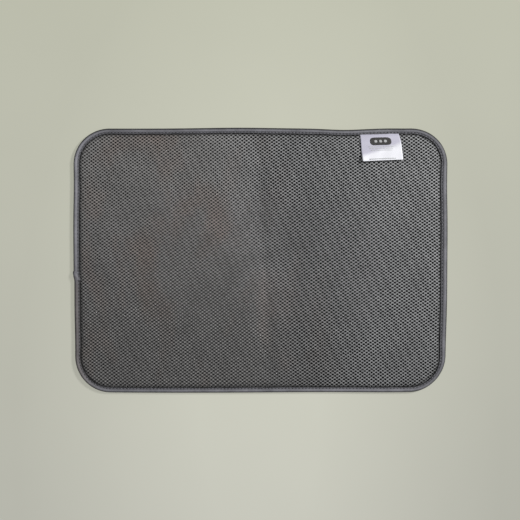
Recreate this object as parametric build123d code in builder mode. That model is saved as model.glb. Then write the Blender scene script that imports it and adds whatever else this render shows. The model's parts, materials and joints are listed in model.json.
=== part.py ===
from build123d import *

import os
from collections import namedtuple

# Padded mesh mat, rounded at the corners: a stack of soft layers, sewn into a fold-over binding,
# with a satin label caught in the binding near one corner. It folds in half across its middle.
# Frame, in mm: origin under the middle of the mat, on the surface that it lies on. +X runs along its
# length, +Y towards the edge that holds the label and +Z up, out of the mesh.

# Outline
LENGTH = 610.0
WIDTH = 432.0
CORNER_RADIUS = 60.0

# Soft layers in the open panel, from the floor up
UNDERSIDE_THICKNESS = 1.6
FOAM_THICKNESS = 4.4
BASE_THICKNESS = 0.6
YARN_THICKNESS = 1.6
FACE_THICKNESS = 0.8

# Binding tape, folded over the edge of the stack
BINDING_WIDTH = 10.5
BINDING_HEIGHT = 7.8
TAPE_THICKNESS = 0.8  # two plies: each long edge of the tape is turned under
EDGE_ROUND = 3.0  # outside radius of the fold
GROOVE_WIDTH = 1.0  # open gap between the binding and the panel
LABEL_SLIT = 0.3  # height left between the pressed layers and the upper lip

# Lockstitch through the binding
STITCH_FROM_LIP = 2.2  # from the binding's inner edge to the middle of the seam
THREAD_WIDTH = 0.5
THREAD_HEIGHT = 0.3
THREAD_PROUD = 0.1  # how far the upper thread stands out of the tape

# Where the tape's turned-under end laps over its beginning
LAP_Y = -26.0
LAP_LENGTH = 16.0
LAP_PLY = 0.4
LAP_PROUD = 0.4
BARTACK_WIDTH = 0.9
BARTACK_LENGTH = 6.0
BARTACK_FROM_END = 2.6

# Satin label
LABEL_FROM_END = 76.5  # from the mat's right-hand end to the label's side
LABEL_WIDTH = 63.0
LABEL_LENGTH = 44.0
LABEL_THICKNESS = 0.25
LABEL_TAIL = 7.0  # length held inside the binding
LABEL_LIFT = 0.3  # from the mesh up to the label
LABEL_HINGE_GAP = 0.35  # from the bending line to the solid of the label, either side
BADGE_LENGTH = 32.0
BADGE_WIDTH = 11.0
BADGE_CORNER = 2.5
BADGE_FROM_BEND = 10.5
PRINT_THICKNESS = 0.1
CARE_LINE_COUNT = 3
CARE_LINE_PITCH = 3.1
CARE_LINE_LENGTH = 40.0
CARE_LINE_WIDTH = 1.0
CARE_LINES_FROM_BEND = 22.5
FOOT_LINE_LENGTH = 42.0
FOOT_LINE_WIDTH = 1.8
FOOT_LINE_FROM_END = 3.4

# The halves meet at the fold with this much between them
FOLD_GAP = 0.3

# Worked out from the sizes above
STACK_HEIGHT = (
    UNDERSIDE_THICKNESS + FOAM_THICKNESS + BASE_THICKNESS + YARN_THICKNESS + FACE_THICKNESS
)
POCKET_HEIGHT = BINDING_HEIGHT - 2 * TAPE_THICKNESS - LABEL_SLIT
PRESS = POCKET_HEIGHT / STACK_HEIGHT  # how far the binding squeezes the layers
MARGIN_INSET = EDGE_ROUND  # the pressed margins end where the fold begins to curve
STITCH_INSET = BINDING_WIDTH - STITCH_FROM_LIP
LABEL_X = LENGTH / 2 - LABEL_FROM_END - LABEL_WIDTH / 2
LABEL_INSET = BINDING_WIDTH + (GROOVE_WIDTH - LABEL_THICKNESS) / 2  # outer face of the label's riser
BEND_INSET = LABEL_INSET + LABEL_THICKNESS / 2
FLAP_BOTTOM = STACK_HEIGHT + LABEL_LIFT
FLAP_TOP = FLAP_BOTTOM + LABEL_THICKNESS

os.makedirs("parts", exist_ok=True)


def finish(part, name):
    """Name a finished piece and write it."""
    part.label = name
    export_step(part, f"parts/{name}.step")


def half_outline(inset):
    """Right-hand half of the mat's outline, drawn in by `inset`."""
    with BuildSketch(Plane.XY) as outline:
        RectangleRounded(LENGTH - 2 * inset, WIDTH - 2 * inset, CORNER_RADIUS - inset)
        with Locations((FOLD_GAP / 2, 0)):
            Rectangle(LENGTH, WIDTH, align=(Align.MAX, Align.CENTER), mode=Mode.SUBTRACT)
    return outline.sketch


def half_band(outer_inset, inner_inset, level=0.0):
    """Right-hand half of the band between two insets, at the height `level`."""
    with BuildSketch(Plane.XY.offset(level)) as band:
        add(half_outline(outer_inset))
        add(half_outline(inner_inset), mode=Mode.SUBTRACT)
    return band.sketch


def inward_section_plane(x):
    """Plane across the edge that holds the label: its x runs inwards from the edge, its y up."""
    return Plane(origin=(x, WIDTH / 2, 0), x_dir=(0, -1, 0), z_dir=(-1, 0, 0))


# ---------------------------------------------------------------------------------------------
# Soft layers. A surface of the stack lies at `panel` inside its own inset and at `margin` outside
# it, so that each layer turns down at the panel's edge and runs into the binding, squeezed.

Surface = namedtuple("Surface", "inset panel margin")

LAYERS = [
    ("underside_cloth", UNDERSIDE_THICKNESS),
    ("foam_core", FOAM_THICKNESS),
    ("spacer_base", BASE_THICKNESS),
    ("spacer_yarns", YARN_THICKNESS),
    ("mesh_face", FACE_THICKNESS),
]


def stack_surfaces():
    """Surfaces of the stack from the floor up, one more than there are layers."""
    panel_inset = BINDING_WIDTH + GROOVE_WIDTH
    turned_down = (BASE_THICKNESS + YARN_THICKNESS + FACE_THICKNESS) * PRESS
    surfaces = [Surface(panel_inset + turned_down, 0.0, TAPE_THICKNESS)]
    height = 0.0
    for _, thickness in LAYERS:
        height += thickness
        above = (STACK_HEIGHT - height) * PRESS
        inset = panel_inset + min(above, turned_down)
        surfaces.append(Surface(inset, height, TAPE_THICKNESS + height * PRESS))
    return surfaces


def fill_below(surface, mode=Mode.ADD):
    """Add, or take away, what lies below a surface of the right-hand half."""
    if surface.panel > 0:
        extrude(half_outline(surface.inset), amount=surface.panel, mode=mode)
    extrude(half_band(MARGIN_INSET, surface.inset), amount=surface.margin, mode=mode)


surfaces = stack_surfaces()
for (name, _), lower, upper in zip(LAYERS, surfaces, surfaces[1:]):
    with BuildPart() as right_layer:
        fill_below(upper)
        fill_below(lower, mode=Mode.SUBTRACT)
    finish(right_layer.part, f"{name}_right")

    with BuildPart() as left_layer:
        mirror(right_layer.part, about=Plane.YZ)
    finish(left_layer.part, f"{name}_left")

# ---------------------------------------------------------------------------------------------
# Binding and its stitching


def tape_section(plane, ply, top):
    """C-shaped section of a tape `ply` thick, folded over the edge, with its upper lip up to `top`."""
    pocket_top = BINDING_HEIGHT - ply
    with BuildSketch(plane) as section:
        with BuildLine():
            outside = [(BINDING_WIDTH, 0), (0, 0), (0, top), (BINDING_WIDTH, top)]
            inside = [
                (BINDING_WIDTH, ply),
                (ply, ply),
                (ply, pocket_top),
                (BINDING_WIDTH, pocket_top),
            ]
            FilletPolyline(*outside, radius=EDGE_ROUND)
            FilletPolyline(*inside, radius=EDGE_ROUND - ply)
            Line(outside[0], inside[0])
            Line(outside[-1], inside[-1])
        make_face()
    return section.sketch


def rim_path():
    """Outer edge of the right-hand half, from the fold round both corners to the fold."""
    straight_x = LENGTH / 2 - CORNER_RADIUS
    straight_y = WIDTH / 2 - CORNER_RADIUS
    with BuildLine() as path:
        Line((FOLD_GAP / 2, WIDTH / 2), (straight_x, WIDTH / 2))
        CenterArc((straight_x, straight_y), CORNER_RADIUS, 90, -90)
        Line((LENGTH / 2, straight_y), (LENGTH / 2, -straight_y))
        CenterArc((straight_x, -straight_y), CORNER_RADIUS, 0, -90)
        Line((straight_x, -WIDTH / 2), (FOLD_GAP / 2, -WIDTH / 2))
    return path.line


seam = (STITCH_INSET - THREAD_WIDTH / 2, STITCH_INSET + THREAD_WIDTH / 2)
needle_level = BINDING_HEIGHT + THREAD_PROUD - THREAD_HEIGHT
bobbin_level = THREAD_PROUD
bobbin_groove = THREAD_PROUD + THREAD_HEIGHT

with BuildPart() as needle_thread_right:
    extrude(half_band(*seam, needle_level), amount=THREAD_HEIGHT)
finish(needle_thread_right.part, "needle_thread_right")

with BuildPart() as bobbin_thread_right:
    extrude(half_band(*seam, bobbin_level), amount=THREAD_HEIGHT)
finish(bobbin_thread_right.part, "bobbin_thread_right")

with BuildPart() as edge_binding_right:
    sweep(
        tape_section(inward_section_plane(FOLD_GAP / 2), TAPE_THICKNESS, BINDING_HEIGHT),
        path=rim_path(),
    )
    extrude(half_band(*seam, needle_level), amount=THREAD_HEIGHT, mode=Mode.SUBTRACT)
    extrude(half_band(*seam), amount=bobbin_groove, mode=Mode.SUBTRACT)
finish(edge_binding_right.part, "edge_binding_right")

# The tape's end: an outer ply, seated flush in the binding and standing proud of it on top
lap_top = BINDING_HEIGHT + LAP_PROUD
lap_plane = Plane(
    origin=(-LENGTH / 2, LAP_Y + LAP_LENGTH / 2, 0), x_dir=(1, 0, 0), z_dir=(0, -1, 0)
)
with BuildPart() as lap_blank:
    extrude(tape_section(lap_plane, LAP_PLY, lap_top), amount=LAP_LENGTH)

with BuildPart() as lap_bartacks:
    with BuildSketch(Plane.XY.offset(lap_top + THREAD_PROUD - THREAD_HEIGHT)):
        with Locations((-LENGTH / 2 + (EDGE_ROUND + BINDING_WIDTH) / 2, LAP_Y)):
            with GridLocations(1, LAP_LENGTH - 2 * BARTACK_FROM_END, 1, 2):
                SlotOverall(BARTACK_LENGTH, BARTACK_WIDTH)
    extrude(amount=THREAD_HEIGHT)
finish(lap_bartacks.part, "lap_bartacks")

with BuildPart() as binding_lap:
    add(lap_blank.part)
    add(lap_bartacks.part, mode=Mode.SUBTRACT)
finish(binding_lap.part, "binding_lap")

with BuildPart() as edge_binding_left:
    mirror(edge_binding_right.part, about=Plane.YZ)
    add(lap_blank.part, mode=Mode.SUBTRACT)
finish(edge_binding_left.part, "edge_binding_left")

with BuildPart() as lap_stretch:  # the stretch of the seam that the lap covers
    with Locations((-LENGTH / 2, LAP_Y, 0)):
        Box(
            2 * BINDING_WIDTH,
            LAP_LENGTH,
            lap_top,
            align=(Align.CENTER, Align.CENTER, Align.MIN),
        )

for name, right_thread in [
    ("needle_thread", needle_thread_right),
    ("bobbin_thread", bobbin_thread_right),
]:
    with BuildPart() as left_thread:
        mirror(right_thread.part, about=Plane.YZ)
        add(lap_stretch.part, mode=Mode.SUBTRACT)
    finish(left_thread.part, f"{name}_left")

# ---------------------------------------------------------------------------------------------
# Satin label: a tail sewn into the binding, and a flap that bends about the tail's upper end

label_plane = inward_section_plane(LABEL_X)
tail_level = BINDING_HEIGHT - TAPE_THICKNESS - LABEL_SLIT
riser_top = FLAP_BOTTOM - LABEL_HINGE_GAP

with BuildPart() as label_tail:
    with BuildSketch(label_plane):
        with BuildLine():
            Polyline(
                (BINDING_WIDTH - LABEL_TAIL, tail_level),
                (LABEL_INSET + LABEL_THICKNESS, tail_level),
                (LABEL_INSET + LABEL_THICKNESS, riser_top),
                (LABEL_INSET, riser_top),
                (LABEL_INSET, tail_level + LABEL_THICKNESS),
                (BINDING_WIDTH - LABEL_TAIL, tail_level + LABEL_THICKNESS),
                close=True,
            )
        make_face()
    extrude(amount=LABEL_WIDTH / 2, both=True)
finish(label_tail.part, "label_tail")

flap_start = WIDTH / 2 - BEND_INSET - LABEL_HINGE_GAP
with BuildPart() as label_flap:
    with BuildSketch(Plane.XY.offset(FLAP_BOTTOM)):
        with Locations((LABEL_X, flap_start)):
            Rectangle(LABEL_WIDTH, LABEL_LENGTH, align=(Align.CENTER, Align.MAX))
    extrude(amount=LABEL_THICKNESS)
finish(label_flap.part, "label_flap")

with BuildPart() as label_badge:
    with BuildSketch(Plane.XY.offset(FLAP_TOP)):
        with Locations((LABEL_X, flap_start - BADGE_FROM_BEND)):
            RectangleRounded(BADGE_LENGTH, BADGE_WIDTH, BADGE_CORNER)
    extrude(amount=PRINT_THICKNESS)
finish(label_badge.part, "label_badge")

with BuildPart() as label_print:
    with BuildSketch(Plane.XY.offset(FLAP_TOP)):
        with Locations((LABEL_X, flap_start - CARE_LINES_FROM_BEND)):
            with GridLocations(1, CARE_LINE_PITCH, 1, CARE_LINE_COUNT):
                Rectangle(CARE_LINE_LENGTH, CARE_LINE_WIDTH)
        with Locations((LABEL_X, flap_start - LABEL_LENGTH + FOOT_LINE_FROM_END)):
            Rectangle(FOOT_LINE_LENGTH, FOOT_LINE_WIDTH)
    extrude(amount=PRINT_THICKNESS)
finish(label_print.part, "label_print")
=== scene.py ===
import json
import math

import bmesh
import bpy
import numpy as np
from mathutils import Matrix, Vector


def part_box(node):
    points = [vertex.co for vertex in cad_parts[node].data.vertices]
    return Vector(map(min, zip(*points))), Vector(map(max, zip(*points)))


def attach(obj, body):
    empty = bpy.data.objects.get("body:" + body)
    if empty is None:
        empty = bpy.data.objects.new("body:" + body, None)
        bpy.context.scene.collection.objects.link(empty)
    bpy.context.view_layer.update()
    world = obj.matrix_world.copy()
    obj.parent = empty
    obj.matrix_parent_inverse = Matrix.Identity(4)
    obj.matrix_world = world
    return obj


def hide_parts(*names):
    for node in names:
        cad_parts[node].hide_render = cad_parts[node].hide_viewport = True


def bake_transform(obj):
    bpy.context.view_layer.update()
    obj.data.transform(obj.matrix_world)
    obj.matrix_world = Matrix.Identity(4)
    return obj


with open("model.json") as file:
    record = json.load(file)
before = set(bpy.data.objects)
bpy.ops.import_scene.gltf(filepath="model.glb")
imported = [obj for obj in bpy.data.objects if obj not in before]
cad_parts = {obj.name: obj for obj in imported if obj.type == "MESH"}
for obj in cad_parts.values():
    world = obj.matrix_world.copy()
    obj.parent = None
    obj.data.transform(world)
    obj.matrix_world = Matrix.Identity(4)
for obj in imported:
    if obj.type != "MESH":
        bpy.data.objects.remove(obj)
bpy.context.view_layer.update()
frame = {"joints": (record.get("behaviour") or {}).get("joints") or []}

# A padded mesh mat, seen from straight above: an open knit net over spacer yarns, a dark base knit
# and padding, bound round its edge with folded tape, with a satin label caught in the binding.
# Lengths are metres. The frame is the CAD model's: origin under the middle, +Y towards the label.

MM = 0.001

# ---------------------------------------------------------------------------------------------
# Sizes, from the frame where it has them

HALF_LENGTH, HALF_WIDTH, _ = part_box("edge_binding_right")[1]
PANEL_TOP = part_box("mesh_face_right")[1][2]
CORNER_RADIUS = 60 * MM
BINDING_WIDTH = 10.5 * MM
SEAM_INSET = HALF_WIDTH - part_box("needle_thread_right")[1][1] + 0.25 * MM

UNDERSIDE_TOP = 1.6 * MM
FOAM_TOP = 6.0 * MM
BASE_TOP = 6.6 * MM
LAYER_GAP = 0.02 * MM
STACK_INSET = BINDING_WIDTH - 6 * MM  # how far in from the outline the layers end
NET_MIDDLE = PANEL_TOP - 0.55 * MM

# How the stack is drawn down into the binding
PRESSED_TOP = 4.7 * MM
PRESSED_BOTTOM = 1.3 * MM
GROOVE_INSET = 10.7 * MM

# The knit net: two staggered rows of holes to each pitch
NET_PITCH_X = 7.55 * MM
NET_PITCH_Y = 5.41 * MM
NET_HOLE_X = 1.75 * MM  # half the length of a hole
NET_HOLE_Y = 1.25 * MM
NET_LEFT_SHARE = 0.957  # the knit to the left of the middle is drawn together along the mat
NET_UNDER_BINDING = 5.5 * MM  # cells whose middle is further out are left off

STITCH_PITCH = 5.5 * MM

lap_low, lap_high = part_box("binding_lap")
LAP_AT = (lap_low[1] + lap_high[1]) / 2


def bump(t, middle, spread):
    """Bell curve of height one."""
    return np.exp(-(((t - middle) / spread) ** 2))


def ease(t):
    t = np.clip(t, 0, 1)
    return t * t * (3 - 2 * t)


def edge_inset(x, y):
    """Distance in from the mat's outline."""
    qx = np.abs(x) - (HALF_LENGTH - CORNER_RADIUS)
    qy = np.abs(y) - (HALF_WIDTH - CORNER_RADIUS)
    outside = np.hypot(np.maximum(qx, 0), np.maximum(qy, 0))
    return CORNER_RADIUS - outside - np.minimum(np.maximum(qx, qy), 0)


def tape_share(x, y):
    """Width of the tape as sewn, narrower along the upper, lower and left edges."""
    upper, lower = (ease((way * y / HALF_WIDTH - 0.55) / 0.4) for way in (1, -1))
    left, right = (ease((way * x / HALF_LENGTH - 0.7) / 0.28) for way in (-1, 1))
    return 1 - 0.09 * upper - 0.19 * lower - (0.04 * left - 0.05 * right) * (1 - upper) * (1 - lower)


def groove_past(x, y):
    """Distance in from the groove along the tape's inner edge."""
    return np.maximum(edge_inset(x, y) - GROOVE_INSET * tape_share(x, y), 0)


def swell(x, y):
    """Gentle unevenness of the padding, about -1 to 1."""
    return (
        0.40 * np.sin(23 * x + 9 * y + 0.6)
        + 0.30 * np.sin(-14 * x + 31 * y + 1.9)
        + 0.20 * np.sin(52 * x - 27 * y + 0.2)
        + 0.10 * np.sin(37 * x + 71 * y + 2.4)
    )


def top_height(x, y):
    """Height of the net's upper side."""
    past = groove_past(x, y)
    rise = 1 - 0.66 * np.exp(-past / (1.7 * MM)) - 0.34 * np.exp(-past / (7 * MM))
    crown = PRESSED_TOP + (PANEL_TOP - PRESSED_TOP) * rise
    crease_at = (12 - 60 * y) * MM
    crease = 0.75 * MM * bump(x, crease_at, 11 * MM) + 0.3 * MM * bump(x, crease_at, 38 * MM)
    return crown + rise * (0.28 * MM * swell(x, y) - 0.22 * MM - crease)


def bottom_height(x, y):
    """Height of the lowest side of the stack, lifted where it runs into the binding."""
    return PRESSED_BOTTOM * np.exp(-groove_past(x, y) / (2.8 * MM))


def wander(x, y):
    """How far the hand-sewn outline and the cloth with it stray from the true shape."""
    side = np.clip(np.abs(x) / HALF_LENGTH, 0, 1) ** 2 * np.sign(x)
    end = np.clip(np.abs(y) / HALF_WIDTH, 0, 1) ** 3
    upper, lower = end * (y > 0), end * (y < 0)
    dx = side * MM * (-2.3 * bump(y, -0.150, 0.062) + 0.5 * bump(y, 0.05, 0.05) - 0.4 * bump(y, 0.12, 0.03))
    dy = upper * MM * (
        1.5 * bump(x, -0.035, 0.08) - 2.1 * bump(x, 0.138, 0.038) + 0.3 * bump(x, 0.21, 0.02) - 1.6
    )
    dy = dy - lower * MM * (0.6 * bump(x, -0.12, 0.12) - 0.5 * bump(x, 0.1, 0.08))
    # the whole left edge lies a little in, and the tape steps in again below its lap
    dx = dx + side**2 * np.where(x < 0, 0.8, 0.6) * MM
    dx = dx + (x < 0) * side**2 * 1.3 * MM * ease((LAP_AT - y) / (7 * MM)) * bump(y, LAP_AT, 0.09)
    arc = CORNER_RADIUS * (1 - math.sqrt(0.5))
    for way_x, way_y, pull in ((1, -1, 1.5), (-1, -1, 0.5), (-1, 1, -0.3), (1, 1, -0.6)):
        off_x = x - way_x * (HALF_LENGTH - arc)
        off_y = y - way_y * (HALF_WIDTH - arc)
        near = pull * MM * np.exp(-(off_x**2 + off_y**2) / 0.046**2)
        dx, dy = dx - way_x * near, dy - way_y * near
    return dx, dy


def points_of(obj):
    co = np.zeros(len(obj.data.vertices) * 3, np.float32)
    obj.data.vertices.foreach_get("co", co)
    return co.reshape(-1, 3).astype(float)


def move_points(obj, co):
    obj.data.vertices.foreach_set("co", co.astype(np.float32).ravel())
    obj.data.update()


def strayed(co):
    """Points taken to where the hand-sewn outline has them."""
    dx, dy = wander(co[:, 0], co[:, 1])
    return co + np.column_stack([dx, dy, np.zeros(len(co))])


def store(obj, name, values):
    """Keeps a number or a vector at every point of a piece."""
    values = np.asarray(values, np.float32)
    kind, field = ("FLOAT_VECTOR", "vector") if values.ndim > 1 else ("FLOAT", "value")
    obj.data.attributes.new(name, kind, "POINT").data.foreach_set(field, values.ravel())


def keep_place(obj):
    """Stores where each point lies at rest, so that the patterns stay on the cloth as it folds."""
    store(obj, "place", points_of(obj))


def settled(co):
    """Points given in the flat stack, taken to where the sewn mat has them."""
    x, y, level = co[:, 0], co[:, 1], co[:, 2]
    low, high = bottom_height(x, y), top_height(x, y)
    dx, dy = wander(x, y)
    return np.column_stack([x + dx, y + dy, low + level / PANEL_TOP * (high - low)])


# ---------------------------------------------------------------------------------------------
# Meshes


def linked(name, data):
    """New object in the scene."""
    obj = bpy.data.objects.new(name, data)
    bpy.context.scene.collection.objects.link(obj)
    return obj


def new_object(name, verts, faces, smooth=True):
    mesh = bpy.data.meshes.new(name)
    mesh.from_pydata([tuple(v) for v in verts], [], [tuple(int(i) for i in f) for f in faces])
    mesh.update()
    if smooth:
        mesh.shade_smooth()
    return linked(name, mesh)


def finished(obj, material):
    obj.data.materials.append(material)
    return obj


def remove(obj):
    mesh = obj.data
    bpy.data.objects.remove(obj)
    if mesh.users == 0:
        bpy.data.meshes.remove(mesh)


def face_outwards(obj):
    work = bmesh.new()
    work.from_mesh(obj.data)
    bmesh.ops.recalc_face_normals(work, faces=work.faces)
    work.to_mesh(obj.data)
    work.free()


def grid_faces(index, offset):
    """Faces over a grid of points, and the wall round its border to a second grid `offset` points on."""
    quads = np.stack([index[:-1, :-1], index[:-1, 1:], index[1:, 1:], index[1:, :-1]], axis=-1)
    rim = np.concatenate([index[0, :-1], index[:-1, -1], index[-1, :0:-1], index[:0:-1, 0]])
    after = np.roll(rim, -1)
    return quads.reshape(-1, 4), np.stack([rim, after, after + offset, rim + offset], axis=1)


def row_stations(count):
    """From -1 to 1, closer together at both ends."""
    t = np.linspace(-1, 1, count)
    return 0.45 * t + 0.55 * np.sin(np.pi * t / 2)


def column_stations(count):
    """From -1 to 1, closer together at both ends and in the middle."""
    t = np.linspace(-1, 1, count)
    return t - 0.72 * np.sin(2 * np.pi * t) / (2 * np.pi)


def slab(name, low, high, finish):
    """Closed layer of the stack between two levels, with rounded corners."""
    columns, rows = 150, 110
    half_x, half_y, radius = (size - STACK_INSET for size in (HALF_LENGTH, HALF_WIDTH, CORNER_RADIUS))
    y = row_stations(rows)[:, None] * half_y
    past = np.clip(np.abs(y) - (half_y - radius), 0, radius)
    reach = half_x - radius + np.sqrt(radius**2 - past**2)
    x = column_stations(columns)[None, :] * reach
    y = np.broadcast_to(y, x.shape)
    sheets = [np.stack([x.ravel(), y.ravel(), np.full(x.size, level)], axis=1) for level in (low, high)]
    quads, walls = grid_faces(np.arange(x.size).reshape(rows, columns), x.size)
    faces = np.concatenate([quads[:, ::-1], quads + x.size, walls])
    return finished(new_object(name, settled(np.concatenate(sheets)), faces), finish)


# ---------------------------------------------------------------------------------------------
# Node trees


NOISE_RANGE = (0.3, 0.7)  # what a noise texture mostly stays between
WEAVE_RANGE = (0.2, 0.8)


class Tree:
    """Short way to write a node tree."""

    def __init__(self, tree):
        self.tree = tree

    def node(self, kind, inputs=None, **settings):
        node = self.tree.nodes.new(kind)
        for key, value in settings.items():
            setattr(node, key, value)
        for key, value in (inputs or {}).items():
            self.put(node.inputs[key], value)
        return node

    def put(self, socket, value):
        if isinstance(value, bpy.types.NodeSocket):
            self.tree.links.new(value, socket)
        elif isinstance(value, bpy.types.Node):
            self.tree.links.new(value.outputs[0], socket)
        else:
            socket.default_value = value

    def math(self, operation, *values, clamp=False):
        node = self.node("ShaderNodeMath", operation=operation, use_clamp=clamp)
        for socket, value in zip(node.inputs, values):
            self.put(socket, value)
        return node.outputs[0]

    def plus(self, a, b):
        return self.math("ADD", a, b)

    def minus(self, a, b):
        return self.math("SUBTRACT", a, b)

    def times(self, a, b):
        return self.math("MULTIPLY", a, b)

    def scaled(self, vector, share):
        return self.vector("SCALE", vector, Scale=share)

    def axes(self, vector):
        """The three parts of a vector."""
        return self.node("ShaderNodeSeparateXYZ", {"Vector": vector}).outputs[:]

    def vector(self, operation, *values, **named):
        node = self.node("ShaderNodeVectorMath", operation=operation)
        for socket, value in zip(node.inputs, values):
            self.put(socket, value)
        for key, value in named.items():
            self.put(node.inputs[key], value)
        return node.outputs[0]

    def noise(self, vector, scale, detail=3.0, roughness=0.55):
        return self.node(
            "ShaderNodeTexNoise",
            {"Vector": vector, "Scale": scale, "Detail": detail, "Roughness": roughness},
        ).outputs["Fac"]

    def spread(self, value, low, high, to_low=0.0, to_high=1.0):
        return self.node(
            "ShaderNodeMapRange",
            {"Value": value, "From Min": low, "From Max": high, "To Min": to_low, "To Max": to_high},
        ).outputs[0]

    def over_noise(self, value, low=0.0, high=1.0):
        """Noise, which stays near its middle, spread from low to high."""
        return self.spread(value, *NOISE_RANGE, low, high)

    def over_weave(self, value, low, high):
        return self.spread(value, *WEAVE_RANGE, low, high)

    def mix(self, factor, a, b, blend="MIX"):
        node = self.node("ShaderNodeMix", data_type="RGBA", blend_type=blend, clamp_factor=True)
        for socket, value in zip((node.inputs[0], node.inputs[6], node.inputs[7]), (factor, a, b)):
            self.put(socket, value)
        return node.outputs[2]


def group(name, inputs, outputs, kind="ShaderNodeTree"):
    """New node group with its sockets: each a name, a socket kind and a default."""
    tree = bpy.data.node_groups.new(name, kind)
    for socket_name, socket_kind, default in inputs:
        socket = tree.interface.new_socket(socket_name, in_out="INPUT", socket_type=socket_kind)
        if default is not None:
            socket.default_value = default
    for socket_name, socket_kind in outputs:
        tree.interface.new_socket(socket_name, in_out="OUTPUT", socket_type=socket_kind)
    build = Tree(tree)
    return build, build.node("NodeGroupInput").outputs, build.node("NodeGroupOutput").inputs


FLOAT, VECTOR, COLOR = "NodeSocketFloat", "NodeSocketVector", "NodeSocketColor"


def grey(level, warm=0.0):
    """Linear colour from a display grey of 0 to 1, warmer or cooler by a share."""
    linear = level**2.2
    return (linear * (1 + warm), linear, linear * (1 - warm), 1.0)


# Shared surface effects


def make_tone_drift():
    """Slow change of tone over the mat: browner and darker to the lower left, bluer to the right, with
    painted shade in a band beside the middle crease.
    """
    t, given, out = group(
        "tone_drift",
        [("Position", VECTOR, None), ("Warm", COLOR, grey(0.5)), ("Cool", COLOR, grey(0.5))],
        [("Color", COLOR), ("Right", FLOAT)],
    )
    place = given["Position"]
    x, y, _ = t.axes(place)
    slant = t.plus(x, t.times(y, 0.25))
    cloud = t.times(t.minus(t.noise(place, 9.0), 0.5), 0.12)
    right = t.spread(t.plus(slant, cloud), -0.06, 0.12)
    tone = t.mix(right, given["Warm"], given["Cool"])
    # painted shade: darker towards the bottom, and darker again in a band beside the middle crease where
    # the padding dips
    beside = t.math("ABSOLUTE", t.minus(x, 0.085))
    shade = t.times(t.spread(y, -0.2, 0.15, 0.76, 0.99), t.spread(beside, 0.02, 0.10, 0.8, 0.98))
    blotch = t.noise(t.vector("MULTIPLY", place, (1.0, 0.6, 1.0)), 13.0, detail=3.0)
    brown = t.times(t.spread(blotch, 0.5, 0.66), t.minus(1, right))
    tone = t.mix(brown, tone, t.vector("MULTIPLY", tone, (1.06, 0.93, 0.87)))
    t.put(out["Color"], t.scaled(tone, shade))
    t.put(out["Right"], right)
    return t.tree


def make_yarn_grain():
    """Fine streaks of a plied yarn: a light and dark shade and a height."""
    t, given, out = group(
        "yarn_grain",
        [("Position", VECTOR, None), ("Scale", FLOAT, 900.0), ("Stretch", VECTOR, (1, 1, 1))],
        [("Shade", FLOAT), ("Height", FLOAT)],
    )
    place = given["Position"]
    stretched = t.vector("MULTIPLY", place, given["Stretch"])
    fine = t.noise(stretched, given["Scale"], detail=4.0, roughness=0.7)
    coarse = t.noise(place, t.times(given["Scale"], 0.22))
    t.put(out["Shade"], t.plus(t.times(fine, 0.6), t.times(coarse, 0.4)))
    t.put(out["Height"], fine)
    return t.tree


def make_weave():
    """Plain weave: threads over and under each other, as a height and a shade."""
    t, given, out = group(
        "weave",
        [("Position", VECTOR, None), ("Threads per metre", FLOAT, 1500.0)],
        [("Height", FLOAT), ("Shade", FLOAT)],
    )
    place = given["Position"]
    scaled = t.scaled(place, given["Threads per metre"])
    x, y, z = t.axes(scaled)
    across = t.math("SINE", t.times(x, math.pi))
    along = t.math("SINE", t.times(t.plus(y, z), math.pi))
    crossing = t.times(across, along)
    height = t.plus(t.times(crossing, 0.5), 0.5)
    uneven = t.noise(place, 420.0)
    t.put(out["Height"], height)
    t.put(out["Shade"], t.plus(t.times(height, 0.5), t.times(uneven, 0.5)))
    return t.tree


def make_lint():
    """Sparse pale flecks of lint and dust."""
    t, given, out = group(
        "lint",
        [("Position", VECTOR, None), ("Scale", FLOAT, 260.0), ("Amount", FLOAT, 0.5)],
        [("Mask", FLOAT)],
    )
    place = given["Position"]
    cells = t.node("ShaderNodeTexVoronoi", {"Vector": place, "Scale": given["Scale"]})
    speck = t.spread(cells.outputs["Distance"], 0.10, 0.03)
    patchy = t.spread(t.noise(place, 24.0), 0.5, 0.7)
    mask = t.math("MULTIPLY", t.times(speck, patchy), given["Amount"], clamp=True)
    t.put(out["Mask"], mask)
    return t.tree


TONE_DRIFT = make_tone_drift()
YARN_GRAIN = make_yarn_grain()
WEAVE = make_weave()
LINT = make_lint()


class Material(Tree):
    """A material with its Principled shader, and the place at rest of every point of the piece."""

    def __init__(self, name, **shader):
        self.material = bpy.data.materials.new(name)
        self.material.use_nodes = True
        super().__init__(self.material.node_tree)
        self.shader = self.tree.nodes["Principled BSDF"]
        for key, value in shader.items():
            self.shader.inputs[key.replace("_", " ")].default_value = value
        self.position = self.node("ShaderNodeAttribute", attribute_name="place").outputs["Vector"]

    def use(self, tree, **values):
        """The outputs of a shared group, which is given the place and the values named."""
        node = self.node("ShaderNodeGroup", node_tree=tree)
        for key, value in {"Position": self.position, **values}.items():
            self.put(node.inputs[key.replace("_", " ")], value)
        return node.outputs

    def stored(self, name):
        """A number kept at every point of the piece."""
        return self.node("ShaderNodeAttribute", attribute_name=name).outputs["Fac"]

    def color(self, value):
        self.put(self.shader.inputs["Base Color"], value)

    def rough(self, value):
        self.put(self.shader.inputs["Roughness"], value)

    def relief(self, height, strength, distance):
        bump_node = self.node(
            "ShaderNodeBump", {"Height": height, "Strength": strength, "Distance": distance}
        )
        self.put(self.shader.inputs["Normal"], bump_node)


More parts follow.
